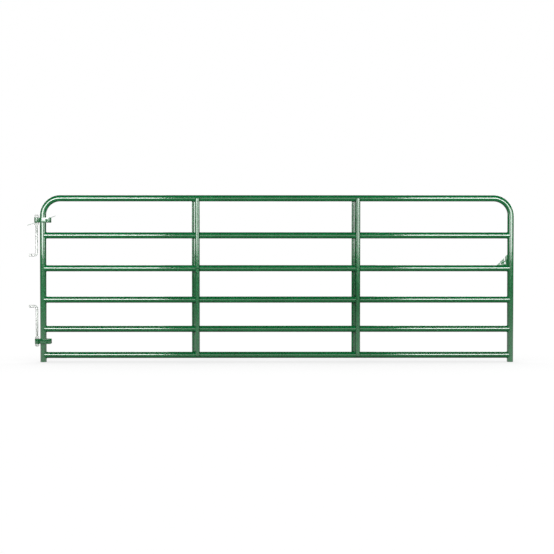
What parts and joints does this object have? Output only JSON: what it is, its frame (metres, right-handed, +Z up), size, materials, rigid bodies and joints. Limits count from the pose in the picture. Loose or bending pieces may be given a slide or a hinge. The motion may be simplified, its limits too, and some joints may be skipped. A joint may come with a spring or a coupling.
{
  "type": "livestock panel gate",
  "caption": "Tubular steel livestock panel gate with welded horizontal rails, Z-section braces, a chain latch plate and strap hinges with bolt hooks.",
  "frame": {"origin": "middle of the underside of the box round the whole part, on the ground plane", "axes": "+X runs along the gate from its hinge side to its latch side, +Y from the front to the back, +Z up"},
  "size_m": [3.7066, 0.0812, 1.27],
  "materials": {
    "green_powder_coat": "gloss",
    "zinc_plating": "satin"
  },
  "bodies": {
    "upper_hook": {"upper_bolt_hook": "zinc_plating", "upper_hook_outer_nut": "zinc_plating", "upper_hook_inner_nut": "zinc_plating"},
    "gate_leaf": {"outer_frame_tube": "green_powder_coat", "rail_1": "green_powder_coat", "rail_2": "green_powder_coat", "rail_3": "green_powder_coat", "rail_4": "green_powder_coat", "rail_5": "green_powder_coat", "hinge_side_z_brace": "green_powder_coat", "latch_side_z_brace": "green_powder_coat", "chain_latch_plate": "green_powder_coat", "upper_hinge_strap": "green_powder_coat", "upper_strap_bolt": "green_powder_coat", "upper_strap_nut": "green_powder_coat", "lower_hinge_strap": "green_powder_coat", "lower_strap_bolt": "green_powder_coat", "lower_strap_nut": "green_powder_coat", "tie_wire": "green_powder_coat"},
    "lower_hook": {"lower_bolt_hook": "zinc_plating", "lower_hook_outer_nut": "zinc_plating", "lower_hook_inner_nut": "zinc_plating"}
  },
  "joints": [
    {"name": "gate_swing", "type": "hinge", "parent": "upper_hook", "child": "gate_leaf", "pos_m": [-1.77875, -0.00485, 1.0806], "axis": [0, 0, 1], "range_deg": [-135, 135]},
    {"name": "lower_hook_turn", "type": "hinge", "parent": "gate_leaf", "child": "lower_hook", "pos_m": [-1.77875, -0.00485, 0.158], "axis": [0, 0, 1], "range_deg": [-135, 135]}
  ],
  "couplings": [
    {"joint": "lower_hook_turn", "follows": "gate_swing", "ratio": -1}
  ]
}
